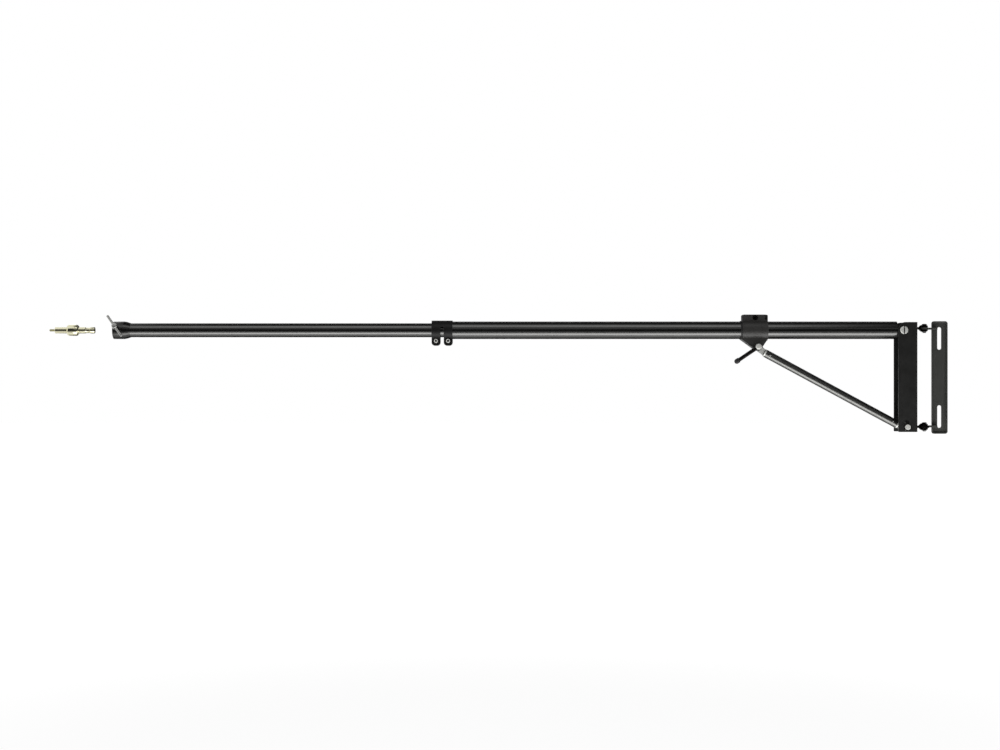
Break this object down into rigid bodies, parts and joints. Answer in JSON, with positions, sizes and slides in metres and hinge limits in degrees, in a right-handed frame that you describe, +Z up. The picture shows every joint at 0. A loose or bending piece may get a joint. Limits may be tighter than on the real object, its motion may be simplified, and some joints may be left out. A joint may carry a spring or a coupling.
{
  "type": "overhead boom arm",
  "caption": "Wall-mounted telescopic boom arm with a hinged upright, a sliding collar with lever, a diagonal strut, a lockable socket at the tip and a loose spigot.",
  "frame": {"origin": "centre of the wall plate's back face, on the wall", "axes": "+Y into the wall, +Z up, +X from the boom's tip towards the wall plate, with the arm swung flat along the wall"},
  "size_m": [2.2546, 0.088, 0.299],
  "materials": {
    "black_anodised": "satin black anodised",
    "black_casting": "black powder coat on a casting",
    "black_paint": "satin black powder coat on sheet steel",
    "black_steel": "black oxide",
    "satin_chrome": "satin chrome plated steel",
    "bright_steel": "bright zinc plated",
    "pale_brass": "turned brass, nickel washed",
    "black_nylon": "moulded black nylon"
  },
  "bodies": {
    "wall_plate": {"wall_plate": "black_paint", "upper_hinge_lug": "black_paint", "lower_hinge_lug": "black_paint", "upper_hinge_pin": "black_steel", "lower_hinge_pin": "black_steel", "upper_hinge_clip": "bright_steel", "lower_hinge_clip": "bright_steel"},
    "upright": {"upright_channel": "black_paint", "upper_hinge_fork": "black_steel", "lower_hinge_fork": "black_steel", "boom_pivot_bolt": "bright_steel", "boom_pivot_sleeve": "satin_chrome", "boom_pivot_nut": "bright_steel"},
    "boom": {"outer_tube": "black_anodised", "boom_root_fitting": "black_casting", "root_fitting_screw_1": "black_steel", "root_fitting_screw_2": "black_steel", "near_friction_washer": "black_nylon", "far_friction_washer": "black_nylon", "telescopic_clamp": "black_casting", "clamp_liner": "black_nylon", "clamp_fixing_screw": "bright_steel", "clamp_fixing_nut": "bright_steel", "extension_lock_nut": "bright_steel"},
    "extension_lock": {"extension_lock_screw": "bright_steel"},
    "collar": {"collar_near_half": "black_casting", "collar_far_half": "black_casting", "collar_liner": "black_nylon", "collar_ear_screw": "black_steel", "collar_ear_nut": "bright_steel", "collar_lever_nut": "bright_steel", "collar_pivot_sleeve": "satin_chrome"},
    "collar_lever": {"collar_lever_hub": "bright_steel", "collar_lever_arm": "black_steel", "collar_lever_tip": "black_nylon"},
    "strut": {"strut_tube": "satin_chrome", "strut_upper_fitting": "satin_chrome", "strut_foot_fitting": "satin_chrome", "strut_spring_pin_1": "bright_steel", "strut_spring_pin_2": "bright_steel", "foot_pivot_bolt": "bright_steel", "foot_near_spacer": "black_nylon", "foot_far_spacer": "black_nylon", "foot_near_washer": "black_steel", "foot_far_washer": "black_steel", "foot_pivot_nut": "bright_steel"},
    "inner": {"inner_tube": "black_anodised", "inner_tube_bush": "black_nylon", "socket_casting": "black_casting", "socket_set_screw": "black_steel"},
    "socket_lock": {"socket_lock_screw": "satin_chrome", "socket_lock_bar": "bright_steel"},
    "spigot": {"spigot_body": "pale_brass", "spigot_stud": "pale_brass"}
  },
  "joints": [
    {"name": "arm_swing", "type": "hinge", "parent": "wall_plate", "child": "upright", "pos_m": [-0.048, -0.045, 0], "axis": [0, 0, 1], "range_deg": [0, 180]},
    {"name": "boom_tilt", "type": "hinge", "parent": "upright", "child": "boom", "pos_m": [-0.1049, -0.045, 0.118], "axis": [0, 1, 0], "range_deg": [0, 30]},
    {"name": "collar_slide", "type": "slide", "parent": "boom", "child": "collar", "axis": [1, 0, 0], "range_m": [0, 0.1018]},
    {"name": "strut_pivot", "type": "hinge", "parent": "collar", "child": "strut", "pos_m": [-0.4659, -0.045, 0.0767], "axis": [0, 1, 0], "range_deg": [-5.6, 0]},
    {"name": "collar_lever_turn", "type": "hinge", "parent": "collar", "child": "collar_lever", "pos_m": [-0.4659, -0.045, 0.0767], "axis": [0, 1, 0], "range_deg": [-45, 45]},
    {"name": "boom_extension", "type": "slide", "parent": "boom", "child": "inner", "axis": [-1, 0, 0], "range_m": [-0.74, 0.05]},
    {"name": "extension_lock_turn", "type": "hinge", "parent": "boom", "child": "extension_lock", "pos_m": [-1.26832, -0.045, 0.0914], "axis": [0, 1, 0], "range_deg": [-90, 90]},
    {"name": "socket_lock_turn", "type": "hinge", "parent": "inner", "child": "socket_lock", "pos_m": [-2.0655, -0.045, 0.118], "axis": [0, -0.9563, 0.2924], "range_deg": [-90, 90]},
    {"name": "spigot_insert", "type": "slide", "parent": "inner", "child": "spigot", "axis": [1, 0, 0], "range_m": [0, 0.086]}
  ],
  "couplings": [
    {"joint": "collar_slide", "follows": "boom_tilt", "m_per_rad": 0.19438},
    {"joint": "strut_pivot", "follows": "boom_tilt", "ratio": -0.18474}
  ]
}
